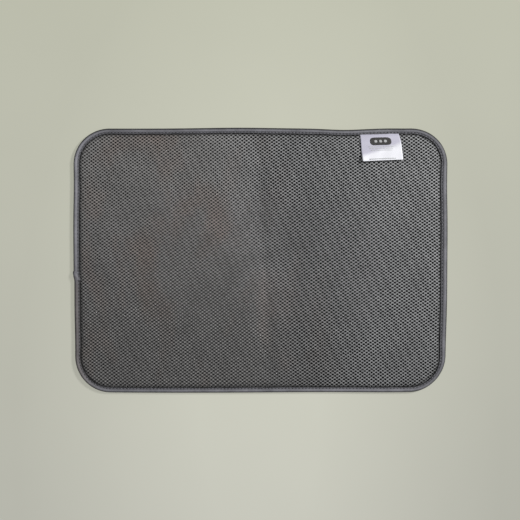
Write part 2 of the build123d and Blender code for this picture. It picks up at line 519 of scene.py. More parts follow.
def make_net_yarn():
    """Grey polyester knit of the upper face, with painted highlights on its knots and ridges and painted
    shade in its holes' lips.
    """
    m = Material("net_yarn", Sheen_Weight=0.25, Sheen_Roughness=0.5, Specular_IOR_Level=0.35)
    drift = m.use(TONE_DRIFT, Warm=grey(0.425, 0.03), Cool=grey(0.55, -0.008))
    knot = m.stored("knot")
    left = m.minus(1, drift["Right"])
    _, y, level = m.axes(m.position)
    knot_glint_strength = m.times(left, m.spread(y, 0.06, -0.10, 1.35, 4.4))  # strength of the painted highlights on the knots, greater towards the lower left
    # painted highlight on each knot
    loops = m.times(m.math("POWER", knot, 4.0), knot_glint_strength)
    # painted light on the ridges and painted shade in the holes' lips, eased off where the knots are
    # painted brightest
    flat = m.times(m.spread(knot, 0, 0.7, 0.38, 1.13), m.spread(knot_glint_strength, 1.35, 4.4, 1.0, 0.54))
    painted_relief_light = m.plus(flat, loops)
    grain = m.use(YARN_GRAIN, Scale=1100.0, Stretch=(1.0, 0.5, 1.0))
    shade = m.over_noise(grain["Shade"], 0.66, 1.18)
    worn = m.over_noise(m.noise(m.position, 30.0, detail=5.0, roughness=0.65), 0.82, 1.14)
    lit = m.scaled(drift["Color"], m.times(shade, worn))
    groove_shade = m.spread(level, 5.6 * MM, 8.1 * MM, 0.10, 1.0)  # painted shade where the net is pressed down into the groove by the binding
    lit = m.scaled(lit, m.times(painted_relief_light, groove_shade))
    m.color(m.mix(m.use(LINT, Amount=0.35)["Mask"], lit, grey(0.8)))
    m.rough(m.over_noise(grain["Shade"], 0.78, 0.58))
    m.relief(grain["Height"], 0.55, 0.25 * MM)
    return m.material


def make_spacer_filament():
    """Upright monofilaments between the net and the base."""
    m = Material("spacer_filament", Specular_IOR_Level=0.5)
    grain = m.use(YARN_GRAIN, Scale=700.0)
    m.color(m.mix(grain["Shade"], grey(0.13), grey(0.24)))
    m.rough(m.over_noise(grain["Shade"], 0.5, 0.36))
    return m.material


def make_base_knit():
    """Dark closed knit seen through the holes."""
    m = Material("base_knit", Specular_IOR_Level=0.2)
    drift = m.use(TONE_DRIFT, Warm=grey(0.16, 0.03), Cool=grey(0.12))
    weave = m.use(WEAVE, Threads_per_metre=1100.0)
    m.color(m.scaled(drift["Color"], m.over_weave(weave["Shade"], 0.7, 1.3)))
    m.rough(m.over_weave(weave["Shade"], 0.95, 0.8))
    m.relief(weave["Height"], 0.5, 0.2 * MM)
    return m.material


def make_foam():
    """Cut face of grey polyurethane foam."""
    m = Material("padding_foam", Specular_IOR_Level=0.2)
    cells = m.node("ShaderNodeTexVoronoi", {"Vector": m.position, "Scale": 1300.0}).outputs["Distance"]
    m.color(m.mix(m.spread(cells, 0.0, 0.6), grey(0.42), grey(0.62)))
    m.rough(m.spread(cells, 0.0, 0.6, 0.95, 0.8))
    m.relief(cells, 0.6, 0.3 * MM)
    return m.material


def make_microfibre():
    """Brushed cloth of the underside, with its nap lying in soft swirls."""
    m = Material("underside_microfibre", Sheen_Weight=0.6, Sheen_Roughness=0.45, Specular_IOR_Level=0.15)
    nap = m.noise(m.vector("MULTIPLY", m.position, (1.0, 0.35, 1.0)), 1500.0, detail=5.0, roughness=0.75)
    swirl = m.over_noise(m.noise(m.position, 26.0, detail=6.0, roughness=0.65))
    cloth = m.mix(swirl, grey(0.345, 0.01), grey(0.385, -0.01))
    m.color(m.scaled(cloth, m.over_noise(nap, 0.75, 1.2)))
    m.rough(m.over_noise(nap, 1.0, 0.85))
    m.relief(nap, 0.6, 0.4 * MM)
    return m.material


def make_binding_tape():
    """Grey-violet polyester tape, finely woven, with a painted highlight along its top and painted shade
    lower down.
    """
    m = Material("binding_tape", Sheen_Weight=0.08, Sheen_Roughness=0.4, Specular_IOR_Level=0.3)
    weave = m.use(WEAVE, Threads_per_metre=1700.0)
    grain = m.use(YARN_GRAIN, Scale=500.0)
    patchy = m.over_noise(m.noise(m.position, 28.0, detail=5.0, roughness=0.65), 0.72, 1.2)
    color = m.mix(grain["Shade"], (0.112, 0.110, 0.122, 1), (0.200, 0.198, 0.216, 1))
    color = m.scaled(color, m.times(patchy, m.over_weave(weave["Shade"], 0.85, 1.15)))
    x, y, level = m.axes(m.position)
    # painted highlight on the tape's top and painted shade lower down, deepest in the seam's valley, on the
    # lips and on the outer wall
    ridge = m.spread(level, 6.3 * MM, 7.7 * MM, 0.16, 0.93)
    # takes part of that painted shade off again low on the outer wall and under the tape
    foot = m.spread(level, 5.8 * MM, 3.8 * MM, 0, 0.5)
    color = m.scaled(color, m.plus(ridge, foot))
    # lighter along the upper left edge and darker along the right edge
    upper_left_lighter = m.times(m.spread(x, -0.26, -0.29), m.spread(y, -0.03, -0.005))
    side = m.minus(m.spread(upper_left_lighter, 0, 1, 1.0, 1.3), m.spread(x, 0.24, 0.29, 0.0, 0.2))
    # painted shade on the tape's outer wall along the upper edge
    color = m.scaled(color, m.times(side, m.spread(m.stored("painted_outer_shade"), 0, 1, 1.0, 0.34)))
    # browner and darker along the lower left edge
    lower_left_browner = m.times(m.spread(x, -0.26, -0.29), m.spread(y, -0.025, -0.045))
    color = m.mix(lower_left_browner, color, m.vector("MULTIPLY", color, (0.84, 0.78, 0.72)))
    m.color(m.mix(m.use(LINT, Scale=330.0, Amount=0.3)["Mask"], color, grey(0.8)))
    m.rough(m.over_weave(weave["Shade"], 0.72, 0.55))
    m.relief(weave["Height"], 0.45, 0.15 * MM)
    return m.material


def make_thread(name, dark, light):
    m = Material(name, Sheen_Weight=0.2, Specular_IOR_Level=0.5)
    grain = m.use(YARN_GRAIN, Scale=1600.0)
    m.color(m.mix(m.over_noise(grain["Shade"]), dark, light))
    m.rough(m.over_noise(grain["Shade"], 0.6, 0.45))
    m.relief(grain["Height"], 0.4, 0.1 * MM)
    return m.material


def make_satin():
    """White satin ribbon with its fine floats along the ribbon and a soft lustre, and painted shade over
    its part nearer the binding.
    """
    m = Material("label_satin", Sheen_Weight=0.15, Specular_IOR_Level=0.55, Anisotropic=0.4)
    floats = m.noise(m.vector("MULTIPLY", m.position, (1.0, 0.12, 1.0)), 2600.0, detail=3.0)
    shade_edge_wobble = m.spread(m.noise(m.position, 60.0), 0.35, 0.75)
    x, y, _ = m.axes(m.position)
    slant = m.minus(y, m.times(x, 0.31))
    # painted shade over the part nearer the binding, its edge slanted and wobbled by noise
    shaded = m.spread(m.plus(slant, m.times(shade_edge_wobble, 0.003)), 0.1158, 0.1230)
    m.color(m.mix(shaded, (0.60, 0.60, 0.63, 1), (0.365, 0.355, 0.42, 1)))
    m.rough(m.over_noise(floats, 0.5, 0.36))
    m.relief(floats, 0.25, 0.08 * MM)
    return m.material


def make_badge():
    """Dark badge of fine weave."""
    m = Material("badge_weave", Specular_IOR_Level=0.35)
    weave = m.use(WEAVE, Threads_per_metre=2400.0)
    m.color(m.mix(weave["Shade"], grey(0.10, 0.06), grey(0.22, 0.05)))
    m.rough(m.over_weave(weave["Shade"], 0.8, 0.6))
    m.relief(weave["Height"], 0.4, 0.1 * MM)
    return m.material


def make_ink(name, level):
    """Printed ink that lets a little of the satin through."""
    m = Material(name, Specular_IOR_Level=0.4)
    broken = m.noise(m.position, 2100.0, detail=2.0)
    m.color(m.mix(m.spread(broken, 0.42, 0.62), grey(level, -0.02), grey(level + 0.16, -0.02)))
    m.rough(m.over_noise(broken, 0.7, 0.5))
    return m.material


def make_floor():
    m = Material("stage_floor", Roughness=0.9, Specular_IOR_Level=0.2)
    x, y, _ = m.axes(m.position)
    slow = m.noise(m.position, 3.0)
    # painted light on the floor: a pool round a place below the mat's middle, a tint paler towards the
    # bottom and a lean lighter towards the upper left
    near, far = (0.545, 0.545, 0.475, 1), (0.49, 0.495, 0.40, 1)
    tint = m.mix(m.spread(y, -0.45, 0.45), near, far)
    drawn = m.vector("MULTIPLY", m.position, (1.25, 0.6, 1.0))
    middle = (0, -0.162, 0)
    away = m.node("ShaderNodeVectorMath", {0: drawn, 1: middle}, operation="DISTANCE").outputs["Value"]
    lean = m.minus(m.times(y, 0.125), m.times(x, 0.15))
    pool = m.plus(m.spread(away, 0.12, 0.5, 1.01, 0.815), lean)
    tint = m.scaled(tint, m.times(pool, m.over_noise(slow, 0.985, 1.015)))
    m.color(m.scaled(tint, 0.4))
    m.put(m.shader.inputs["Emission Color"], tint)  # a glowing table, which thins the shadow on it
    m.shader.inputs["Emission Strength"].default_value = 0.66
    return m.material


# ---------------------------------------------------------------------------------------------
# Geometry Nodes


def plain_mesh(carrier, tree, values, name):
    """Runs a geometry tree on a carrier object and keeps the result as a plain mesh object."""
    modifier = carrier.modifiers.new("build", "NODES")
    modifier.node_group = tree
    for item in tree.interface.items_tree:
        if item.item_type == "SOCKET" and item.in_out == "INPUT" and item.name in values:
            modifier[item.identifier] = values[item.name]
    bpy.context.view_layer.update()
    graph = bpy.context.evaluated_depsgraph_get()
    mesh = bpy.data.meshes.new_from_object(carrier.evaluated_get(graph))
    carrier.modifiers.remove(modifier)
    mesh.materials.clear()
    mesh.materials.append(values["Finish"])
    mesh.polygons.foreach_set("material_index", np.zeros(len(mesh.polygons), np.int32))
    mesh.name = name
    return linked(name, mesh)


GEOMETRY, OBJECT, MATERIAL = "NodeSocketGeometry", "NodeSocketObject", "NodeSocketMaterial"


def shape_of(t, source):
    """Geometry of the object that one of the group's inputs names."""
    return t.node("GeometryNodeObjectInfo", {"Object": source}).outputs["Geometry"]


def upright(t, angle):
    """Turn about the vertical axis."""
    return t.node("ShaderNodeCombineXYZ", {"Z": angle}).outputs[0]


def copies_at(t, points, shape, rotation, **inputs):
    """One real copy of a shape at every point."""
    inputs = {"Points": points, "Instance": shape, "Rotation": rotation, **inputs}
    copies = t.node("GeometryNodeInstanceOnPoints", inputs)
    return t.node("GeometryNodeRealizeInstances", {"Geometry": copies})


def finish_tree(t, geometry, given, out):
    done = t.node("GeometryNodeSetMaterial", {"Geometry": geometry, "Material": given["Finish"]})
    t.put(out["Geometry"], done.outputs[0])
    return t.tree


def make_staggered_tree():
    """Repeats one shape on a staggered lattice, wherever the lattice lies over the outline given."""
    t, given, out = group(
        "staggered_lattice",
        [
            ("Geometry", GEOMETRY, None),
            ("Shape", OBJECT, None),
            ("Outline", OBJECT, None),
            ("Finish", MATERIAL, None),
            ("Pitch X", FLOAT, NET_PITCH_X),
            ("Pitch Y", FLOAT, NET_PITCH_Y),
            ("Columns", "NodeSocketInt", 87),
            ("Rows", "NodeSocketInt", 83),
            ("Level", FLOAT, 0.0),
            ("Turn", FLOAT, 0.0),
            ("Merge", "NodeSocketBool", True),
        ],
        [("Geometry", GEOMETRY)],
        kind="GeometryNodeTree",
    )
    lattice = t.node("GeometryNodeJoinGeometry")
    for shift in (0.0, 0.5):
        grid = t.node(
            "GeometryNodeMeshGrid",
            {
                "Size X": t.times(given["Pitch X"], t.minus(given["Columns"], 1)),
                "Size Y": t.times(given["Pitch Y"], t.minus(given["Rows"], 1)),
                "Vertices X": given["Columns"],
                "Vertices Y": given["Rows"],
            },
        )
        offset = t.node(
            "ShaderNodeCombineXYZ",
            {
                "X": t.times(given["Pitch X"], shift),
                "Y": t.times(given["Pitch Y"], shift),
                "Z": given["Level"],
            },
        )
        placed = t.node("GeometryNodeTransform", {"Geometry": grid, "Translation": offset.outputs[0]})
        t.tree.links.new(placed.outputs[0], lattice.inputs[0])
    points = t.node("GeometryNodeMeshToPoints", {"Mesh": lattice})
    above = t.vector("ADD", t.node("GeometryNodeInputPosition").outputs[0], (0, 0, 0.05))
    over = t.node(
        "GeometryNodeRaycast",
        {
            "Target Geometry": shape_of(t, given["Outline"]),
            "Source Position": above,
            "Ray Direction": (0, 0, -1),
            "Ray Length": 0.2,
        },
    )
    turn = t.node("FunctionNodeRandomValue", {2: 0.0, 3: given["Turn"], "Seed": 7}, data_type="FLOAT")
    rotation = upright(t, turn.outputs[1])
    hit = over.outputs["Is Hit"]
    real = copies_at(t, points, shape_of(t, given["Shape"]), rotation, Selection=hit)
    merge = {"Geometry": real, "Selection": given["Merge"], "Distance": 0.02 * MM}
    return finish_tree(t, t.node("GeometryNodeMergeByDistance", merge), given, out)


def make_seam_tree():
    """Repeats one stitch at an even pitch along a line, turned to follow it."""
    t, given, out = group(
        "seam_stitches",
        [
            ("Geometry", GEOMETRY, None),
            ("Stitch", OBJECT, None),
            ("Finish", MATERIAL, None),
            ("Pitch", FLOAT, STITCH_PITCH),
        ],
        [("Geometry", GEOMETRY)],
        kind="GeometryNodeTree",
    )
    line = t.node("GeometryNodeMeshToCurve", {"Mesh": given["Geometry"]})
    spaced = t.node("GeometryNodeCurveToPoints", {"Curve": line, "Length": given["Pitch"]}, mode="LENGTH")
    wobble = t.node("FunctionNodeRandomValue", {2: -0.09, 3: 0.09, "Seed": 3}, data_type="FLOAT")
    facing = t.node("FunctionNodeAlignRotationToVector", {"Vector": spaced.outputs["Tangent"]}, axis="X")
    turn = {"Rotation": facing.outputs[0], "Rotate By": upright(t, wobble.outputs[1])}
    turned = t.node("FunctionNodeRotateRotation", turn).outputs[0]
    real = copies_at(t, spaced.outputs["Points"], shape_of(t, given["Stitch"]), turned)
    return finish_tree(t, real, given, out)


# ---------------------------------------------------------------------------------------------
# The knit net


def net_cell():
    """Ring of net round one hole: a ridge on the cell's border, a shoulder and the hole's lip."""
    a, b = NET_PITCH_X, NET_PITCH_Y
    long_tip = (a * a + b * b) / (4 * a)
    short_tip = long_tip - b * b / (2 * a)
    border = [(long_tip, 0), (short_tip, b / 2), (0, b / 2), (-short_tip, b / 2)]
    border += [(-x, -y) for x, y in border]
    knot_tops = (2, 6)
    angles = np.radians([0, 48, 90, 132, 180, 228, 270, 312])
    lip = [(NET_HOLE_X * math.cos(t), NET_HOLE_Y * math.sin(t)) for t in angles]
    verts = []
    for k, (x, y) in enumerate(border):
        verts.append((x, y, (0.55 if k in knot_tops else 0.34) * MM))
    share = 0.55  # how far the shoulder lies from the border to the lip
    for k, ((x, y), (u, v)) in enumerate(zip(border, lip)):
        verts.append((x + (u - x) * share, y + (v - y) * share, (0.36 if k in knot_tops else 0.26) * MM))
    verts += [(u, v, -0.05 * MM) for u, v in lip]
    verts += [(x, y, -0.42 * MM) for x, y in border]
    ring = np.arange(8)
    after = np.roll(ring, -1)
    faces = [
        (low + k, low + n, high + n, high + k)
        for low, high in ((0, 8), (8, 16), (16, 24))
        for k, n in zip(ring, after)
    ]
    cell = new_object("net_cell", verts, faces)
    # weights for the net material's painted light and shade: full on the knots, less on the ridges and
    # shoulders, none in the lips and below
    ridge, shoulder = [0.55, 0.55, 1, 0.55] * 2, [0.3, 0.3, 0.6, 0.3] * 2
    store(cell, "knot", ridge + shoulder + [0.0] * 16)
    reach = [(x * f, y * f, 0.0) for (x, y, _), f in zip(verts, [0] * 8 + [0.45] * 8 + [1] * 8 + [0] * 8)]
    store(cell, "hole_reach", reach)
    return cell


def outline_patch(name, inset, x_side, y_side=0):
    """Flat face over one half of the mat, or over one quarter where y_side is given.

    Its inner borders run between the lattice's places.
    """
    shift_x, shift_y = NET_PITCH_X / 4, NET_PITCH_Y / 4 if y_side else 0.0
    half_x, half_y, radius = HALF_LENGTH - inset, HALF_WIDTH - inset, CORNER_RADIUS - inset
    spread_x = 1 if x_side > 0 else 1 / NET_LEFT_SHARE
    turn = np.radians(np.linspace(90, 0, 13))
    corner = [
        (spread_x * (half_x - radius + radius * math.cos(t)), half_y - radius + radius * math.sin(t))
        for t in turn
    ]
    half_x *= spread_x
    middle = x_side * shift_x
    upper = [(middle, shift_y), (middle, half_y), *corner, (half_x, shift_y)]
    lower = [(middle, shift_y), (middle, -half_y), *((x, -y) for x, y in corner), (half_x, shift_y)]
    parts = {1: [upper], -1: [lower], 0: [upper, lower]}[y_side]
    verts, faces = [], []
    for part in parts:
        faces.append(tuple(range(len(verts), len(verts) + len(part))))
        verts += [(x_side * x, y, 0.0) for x, y in part]
    return new_object(name, verts, faces, smooth=False)


def close_border(obj):
    """Joins the net's upper and lower border ridges where a piece of it ends, so that it is closed."""
    work = bmesh.new()
    work.from_mesh(obj.data)
    open_edges = [e for e in work.edges if e.is_boundary]

    def place(v):
        return round(v.co.x * 1e5), round(v.co.y * 1e5)

    lower = {place(v): v for e in open_edges for v in e.verts if v.co.z < NET_MIDDLE - 0.2 * MM}
    for e in open_edges:
        first, second = e.verts
        if first.co.z > NET_MIDDLE and second.co.z > NET_MIDDLE:
            e.smooth = False
            below = [lower.get(place(second)), lower.get(place(first))]
            if all(below):
                work.faces.new((first, second, *below))
    bmesh.ops.recalc_face_normals(work, faces=work.faces)
    work.to_mesh(obj.data)
    work.free()


def lay_bake_map(obj):
    """The piece's own map: its upper side in one half, its lower side in the other."""
    mesh = obj.data
    layer = mesh.uv_layers.new(name="OFBake")
    co = points_of(obj)
    loops = np.zeros(len(mesh.loops), np.int32)
    mesh.loops.foreach_get("vertex_index", loops)
    normals = np.zeros(len(mesh.polygons) * 3, np.float32)
    mesh.polygons.foreach_get("normal", normals)
    counts = np.zeros(len(mesh.polygons), np.int32)
    mesh.polygons.foreach_get("loop_total", counts)
    down = np.repeat(normals.reshape(-1, 3)[:, 2] < 0, counts)
    low, high = co.min(axis=0), co.max(axis=0)
    flat = (co[:, :2] - low[:2]) / (high[:2] - low[:2])
    uv = flat[loops] * (0.98, 0.48) + (0.01, 0.01)
    uv[down, 1] += 0.5
    layer.data.foreach_set("uv", uv.astype(np.float32).ravel())


def open_holes(net):
    """Widens the holes to the right, where the knit is stretched, and narrows those to the left."""
    co = points_of(net)
    reach = np.zeros(len(co) * 3, np.float32)
    net.data.attributes["hole_reach"].data.foreach_get("vector", reach)
    net.data.attributes.remove(net.data.attributes["hole_reach"])
    uneven = 0.07 * np.sin(410 * co[:, 0] + 190 * co[:, 1]) + 0.05 * np.sin(733 * co[:, 1] - 97 * co[:, 0])
    stretch = ease((co[:, 0] + 0.2 * co[:, 1] + 0.03) / 0.09)
    lower = ease((0.06 - co[:, 1]) / 0.16) * (1 - stretch)
    share = -0.10 + 0.26 * stretch - 0.08 * lower + uneven
    move_points(net, co + reach.reshape(-1, 3) * share[:, None])


def stray_net(co):
    """The knit's own small waves in its plane, which fade out at the binding."""
    x, y = np.where(co[:, 0] < 0, NET_LEFT_SHARE, 1) * co[:, 0], co[:, 1].copy()
    room = ease((edge_inset(x, y) - 5 * MM) / (25 * MM))
    co[:, 0] = x + room * MM * (0.9 * np.sin(31 * y + 7 * x + 0.5) + 0.5 * np.sin(83 * y - 21 * x))
    co[:, 1] = y + room * MM * (0.7 * np.sin(27 * x - 11 * y + 1.0) + 0.4 * np.sin(71 * x + 33 * y))
    return co


def make_net(finish):
    tree = make_staggered_tree()
    cell = net_cell()
    carrier = new_object("lattice_carrier", [(0, 0, 0)], [])
    pieces = []
    for x_name, x_side in (("left", -1), ("right", 1)):
        for y_name, y_side in (("upper", 1), ("lower", -1)):
            outline = outline_patch("net_outline", NET_UNDER_BINDING, x_side, y_side)
            values = {"Shape": cell, "Outline": outline, "Finish": finish, "Level": NET_MIDDLE}
            net = plain_mesh(carrier, tree, values, f"net_{x_name}_{y_name}")
            close_border(net)
            open_holes(net)
            move_points(net, settled(stray_net(points_of(net))))
            lay_bake_map(net)
            remove(outline)
            pieces.append(net)
    remove(cell)
    return tree, carrier, pieces


def yarn_pair():
    """Two leaning monofilaments, three-sided and closed at both ends."""
    radius, lean = 0.16 * MM, 0.85 * MM
    low, high = -1.75 * MM, 0.0
    verts, faces = [], []
    for side in (-1, 1):
        start = len(verts)
        for z, x in ((low, side * lean), (high, -side * 0.35 * lean)):
            for t in np.radians([90, 210, 330]):
                verts.append((x + radius * math.cos(t), side * 0.3 * MM + radius * math.sin(t), z))
        ring = [start, start + 1, start + 2]
        for k in range(3):
            n = (k + 1) % 3
            faces.append((ring[k], ring[n], ring[n] + 3, ring[k] + 3))
        faces.append(tuple(reversed(ring)))
        faces.append(tuple(i + 3 for i in ring))
    return new_object("yarn_pair", verts, faces)


def make_yarns(tree, carrier, finish):
    pair = yarn_pair()
    pieces = []
    for name, side in (("left", -1), ("right", 1)):
        outline = outline_patch("yarn_outline", BINDING_WIDTH, side)
        values = {"Shape": pair, "Outline": outline, "Finish": finish}
        values |= {"Level": NET_MIDDLE - 0.2 * MM, "Turn": math.tau, "Merge": False}
        yarns = plain_mesh(carrier, tree, values, f"upright_yarns_{name}")
        co = points_of(yarns)
        co[:, 1] += NET_PITCH_Y / 2  # under the knots, between the holes
        move_points(yarns, settled(stray_net(co)))
        yarns.data.shade_smooth()
        remove(outline)
        pieces.append(yarns)
    remove(pair)
    return pieces


# ---------------------------------------------------------------------------------------------
# Binding


def rim_stations(step):
    """Points and inward normals along the outline, anticlockwise from the middle of the lower edge."""
    straight_x, straight_y = HALF_LENGTH - CORNER_RADIUS, HALF_WIDTH - CORNER_RADIUS
    quarter = CORNER_RADIUS * math.pi / 2
    lengths = [straight_x, quarter, 2 * straight_y, quarter, 2 * straight_x, quarter]
    lengths += [2 * straight_y, quarter, straight_x]
    total = sum(lengths)
    places, normals = [], []
    for s in np.arange(round(total / step)) * (total / round(total / step)):
        run = 0
        while s > lengths[run]:
            s -= lengths[run]
            run += 1
        if run in (1, 3, 5, 7):
            angle = (run - 3) / 2 * math.pi / 2 + math.pi / 2 * (s / quarter)
            sign_x = 1 if run in (1, 3) else -1
            sign_y = 1 if run in (3, 5) else -1
            direction = np.array([math.cos(angle), math.sin(angle)])
            centre = np.array([sign_x * straight_x, sign_y * straight_y])
            places.append(centre + CORNER_RADIUS * direction)
            normals.append(-direction)
        else:
            start, way = {
                0: ((0, -HALF_WIDTH), (1, 0)),
                2: ((HALF_LENGTH, -straight_y), (0, 1)),
                4: ((straight_x, HALF_WIDTH), (-1, 0)),
                6: ((-HALF_LENGTH, straight_y), (0, -1)),
                8: ((-straight_x, -HALF_WIDTH), (1, 0)),
            }[run]
            way = np.array(way, float)
            places.append(np.array(start) + s * way)
            normals.append(np.array([-way[1], way[0]]))
    return np.array(places), np.array(normals), total


# Section of the folded tape in mm: distance in from the edge, and height. It runs from the upper
# lip's inner edge over the outside of the fold to the lower lip, and back inside.
TAPE_OUTSIDE = [
    (10.0, 5.7), (10.35, 6.1), (10.25, 6.5), (9.8, 6.8), (9.15, 6.75), (8.6, 6.2), (8.05, 6.2),
    (7.5, 6.85), (6.5, 7.4), (5.3, 7.76), (3.9, 7.74), (2.6, 7.3), (1.4, 6.4), (0.45, 5.2), (0.0, 3.9),
    (0.4, 2.3), (1.3, 1.0), (2.5, 0.25), (4.0, 0.0), (6.0, 0.0), (7.5, 0.05), (8.3, 0.3),
    (9.1, 0.05), (9.9, 0.05), (10.3, 0.45), (9.9, 0.9),
]  # fmt: skip
TAPE_INSIDE = [
    (8.3, 1.05), (6.0, 0.85), (4.0, 0.95), (2.5, 1.7), (1.4, 3.0), (1.2, 3.9), (1.5, 5.1),
    (2.6, 6.2), (4.0, 6.75), (6.0, 6.5), (8.3, 5.65),
]  # fmt: skip


def ring_of_sections(section, places, normals, share, lift):
    """Closed tube through one section at every place of a closed route, its width changed by `share`."""
    count, size = len(places), len(section)
    inset = np.array([p[0] for p in section]) * MM
    height = np.array([p[1] for p in section]) * MM
    xy = places[:, None, :] + normals[:, None, :] * (share[:, None] * inset)[:, :, None]
    z = np.broadcast_to(height, (count, size)).copy()
    xy, z = lift(xy, z, inset)
    co = np.concatenate([xy, z[:, :, None]], axis=2).reshape(-1, 3)
    index = np.arange(count * size).reshape(count, size)
    ahead = np.roll(index, -1, axis=0)
    faces = np.stack(
        [index, ahead, np.roll(ahead, -1, axis=1), np.roll(index, -1, axis=1)], axis=-1
    ).reshape(-1, 4)
    return co, faces


def make_binding(finish):
    places, normals, total = rim_stations(1.35 * MM)
    along = np.arange(len(places)) * total / len(places)
    rng = np.random.default_rng(11)
    loose = np.zeros(len(places))
    for wave in (3, 5, 8, 13, 21, 34, 55):
        loose += rng.normal() * np.sin(math.tau * wave * along / total + rng.uniform(0, math.tau)) / 2.2
    stitches = np.cos(math.tau * round(total / STITCH_PITCH) * along / total)
    ridges = rng.normal(size=len(places))
    ridges = np.convolve(np.concatenate([ridges[-3:], ridges, ridges[:3]]), np.hanning(7) / 3, "valid")

    def lift(xy, z, inset):
        on_top = ease((z / MM - 3.9) / 3)
        seam = bump(inset, SEAM_INSET, 2.6 * MM)
        free = bump(inset, 4.2 * MM, 2.6 * MM)
        rise = 0.10 * seam * stitches[:, None] + free * (0.16 * loose + 0.13 * ridges)[:, None]
        z = z + on_top * rise * MM
        slack = ease((inset / MM - 8.6) / 1.6)[None, :] * on_top
        xy = xy + normals[:, None, :] * (slack * (0.25 * loose + 0.18 * ridges)[:, None] * MM)[:, :, None]
        return xy, z

    share = tape_share(places[:, 0], places[:, 1])
    co, faces = ring_of_sections(TAPE_OUTSIDE + TAPE_INSIDE, places, normals, share, lift)
    co = strayed(co)
    obj = new_object("binding", co, faces[:, ::-1])
    inset = np.tile([p[0] for p in TAPE_OUTSIDE + TAPE_INSIDE], len(places))
    # weight of the painted shade on the tape's outer wall along the upper edge
    store(obj, "painted_outer_shade", ease((4.5 - inset) / 1.5) * ease((co[:, 1] / HALF_WIDTH - 0.8) / 0.12))
    return finished(obj, finish)


def stitch_shape():
    """One stitch: a short thread that dips into the tape at both ends."""
    length, width, height = 4.5 * MM, 0.36 * MM, 0.30 * MM
    stations, around = 7, 6
    verts, faces = [], []
    for i in range(stations):
        t = i / (stations - 1) * 2 - 1
        fat = math.sqrt(max(0.0, 1 - abs(t) ** 4)) * 0.95 + 0.05
        for k in range(around):
            angle = math.tau * k / around
            dip = 0.38 * MM * t**4
            across, up = width * fat * math.cos(angle), height * fat * math.sin(angle)
            verts.append((t * length / 2, across, up - dip))
    for i in range(stations - 1):
        for k in range(around):
            n = (k + 1) % around
            faces.append((i * around + k, i * around + n, (i + 1) * around + n, (i + 1) * around + k))
    faces.append(tuple(range(around)))
    faces.append(tuple(reversed(range((stations - 1) * around, stations * around))))
    obj = new_object("stitch_shape", verts, faces)
    face_outwards(obj)
    return obj


def make_seam(tree, name, level, upside_down, finish):
    """The row of stitches on one side of the binding, in a left and a right piece."""
    places, normals, _ = rim_stations(2.0 * MM)
    line = places + normals * SEAM_INSET * tape_share(places[:, 0], places[:, 1])[:, None]
    stitch = stitch_shape()
    if upside_down:
        move_points(stitch, points_of(stitch) * (1, 1, -1))
        stitch.data.flip_normals()
    pieces = []
    for side_name, side in (("left", -1), ("right", 1)):
        keep = line[line[:, 0] * side >= 0]
        order = np.argsort(np.unwrap(np.arctan2(keep[:, 1], keep[:, 0] * side)))
        keep = keep[order]
        co = np.column_stack([keep, np.full(len(keep), level)])
        carrier = new_object("seam_line", co, [])
        carrier.data.edges.add(len(co) - 1)
        pairs = np.column_stack([np.arange(len(co) - 1), np.arange(1, len(co))])
        carrier.data.edges.foreach_set("vertices", pairs.ravel().astype(np.int32))
        carrier.data.update()
        seam = plain_mesh(carrier, tree, {"Stitch": stitch, "Finish": finish}, f"{name}_{side_name}")
        move_points(seam, strayed(points_of(seam)))
        seam.data.shade_smooth()
        remove(carrier)
        pieces.append(seam)
    remove(stitch)
    return pieces


def make_lap(finish):
    """Turned-under end of the tape, lapped over its beginning on the left edge."""
    middle, half = LAP_AT, (lap_high[1] - lap_low[1]) / 2
    stations = 22
    outside = TAPE_OUTSIDE[:24]
    verts = []
    for grow, ridge in ((0.38, 0.9), (0.05, 0.0)):
        centre = (5.2, 3.9)
        for i in range(stations):
            t = i / (stations - 1) * 2 - 1
            end = abs(t) ** 6
            for inset, height in outside:
                away = np.array([inset - centre[0], height - centre[1]])
                away = away / (np.linalg.norm(away) + 1e-9)
                knob = ridge * math.exp(-(((t + 0.12 * (inset - 5)) / 0.34) ** 2))
                puff = (grow * (1 - 0.85 * end) + knob) * (1 if height > 1.0 else 0.15)
                x = -HALF_LENGTH + (inset + away[0] * puff) * MM * tape_share(-HALF_LENGTH, middle)
                y = middle + t * half + 0.6 * MM * math.sin(0.8 * inset) * t
                verts.append((x, y, max(0.0, (height + away[1] * puff)) * MM))
    inner = stations * len(outside)
    quads, walls = grid_faces(np.arange(inner).reshape(stations, -1), inner)
    faces = np.concatenate([quads, (quads + inner)[:, ::-1], walls[:, [1, 0, 3, 2]]])
    obj = new_object("tape_lap", strayed(np.array(verts)), faces)
    face_outwards(obj)
    return finished(obj, finish)


def make_lap_tacks(finish):
    """Bars of close stitches that hold the two ends of the lap."""
    low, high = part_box("lap_bartacks")
    stitch = stitch_shape()
    one = points_of(stitch)
    parts = []
    for y_end, way in ((low[1], 1), (high[1], -1)):
        for k in range(3):
            part = new_object("tack", one, [tuple(f.vertices) for f in stitch.data.polygons])
            slant = 0.16 * (-1) ** k
            x = one[:, 0] * 1.25
            y = one[:, 1] * 1.1 + way * (0.25 + 0.32 * k) * MM + slant * one[:, 0]
            z = one[:, 2] * 0.9 + (lap_high[2] - 0.15 * MM) - 0.09 * (np.abs(x) / MM) ** 2 * MM
            move_points(part, strayed(np.column_stack([x + (low[0] + high[0]) / 2, y + y_end, z])))
            parts.append(part)
    remove(stitch)
    return finished(joined("lap_tacks", parts), finish)


# ---------------------------------------------------------------------------------------------
# Label

